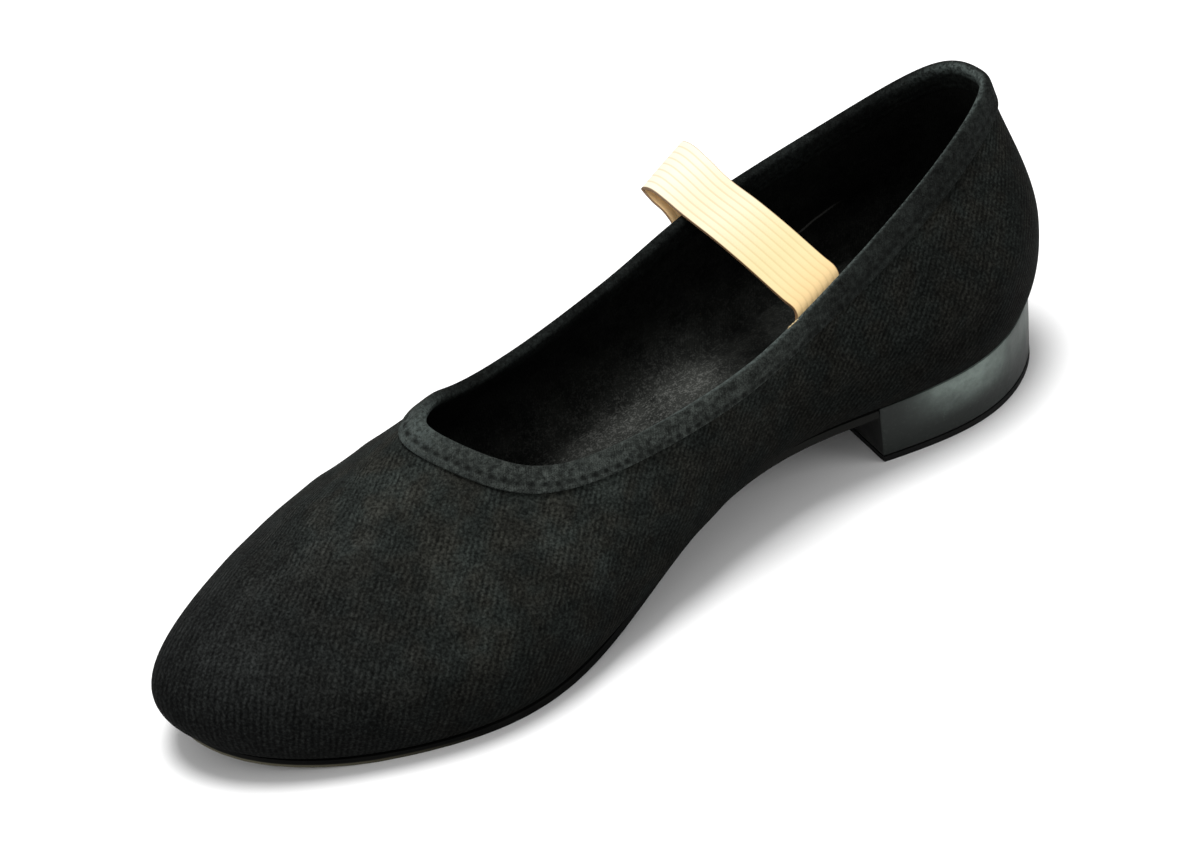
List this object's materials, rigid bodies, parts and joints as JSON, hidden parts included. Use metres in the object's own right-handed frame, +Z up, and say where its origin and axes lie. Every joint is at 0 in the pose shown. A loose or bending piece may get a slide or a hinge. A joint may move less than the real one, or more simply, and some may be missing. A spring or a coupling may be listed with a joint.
{
  "type": "character shoe",
  "caption": "Low-heeled canvas character shoe for the left foot, with a bound collar, a thin sole and an elastic strap over the instep.",
  "frame": {"origin": "middle of the shoe's box, on the floor", "axes": "+X towards the toe, +Y towards the outer (little toe) side of the left foot, +Z up"},
  "size_m": [0.246, 0.0976, 0.0761],
  "materials": {
    "canvas": "worn cotton twill",
    "binding_tape": "folded cotton tape",
    "insole_sock": "worn matt sock",
    "outsole_rubber": "matt",
    "heel_lacquer": "satin lacquer",
    "top_piece_rubber": "matt",
    "strap_elastic": "ribbed elastic webbing"
  },
  "bodies": {
    "root": {"upper": "canvas", "topline_binding": "binding_tape", "insole": "insole_sock", "outsole": "outsole_rubber", "heel_block": "heel_lacquer", "heel_top_piece": "top_piece_rubber", "elastic_strap": "strap_elastic"}
  },
  "joints": []
}
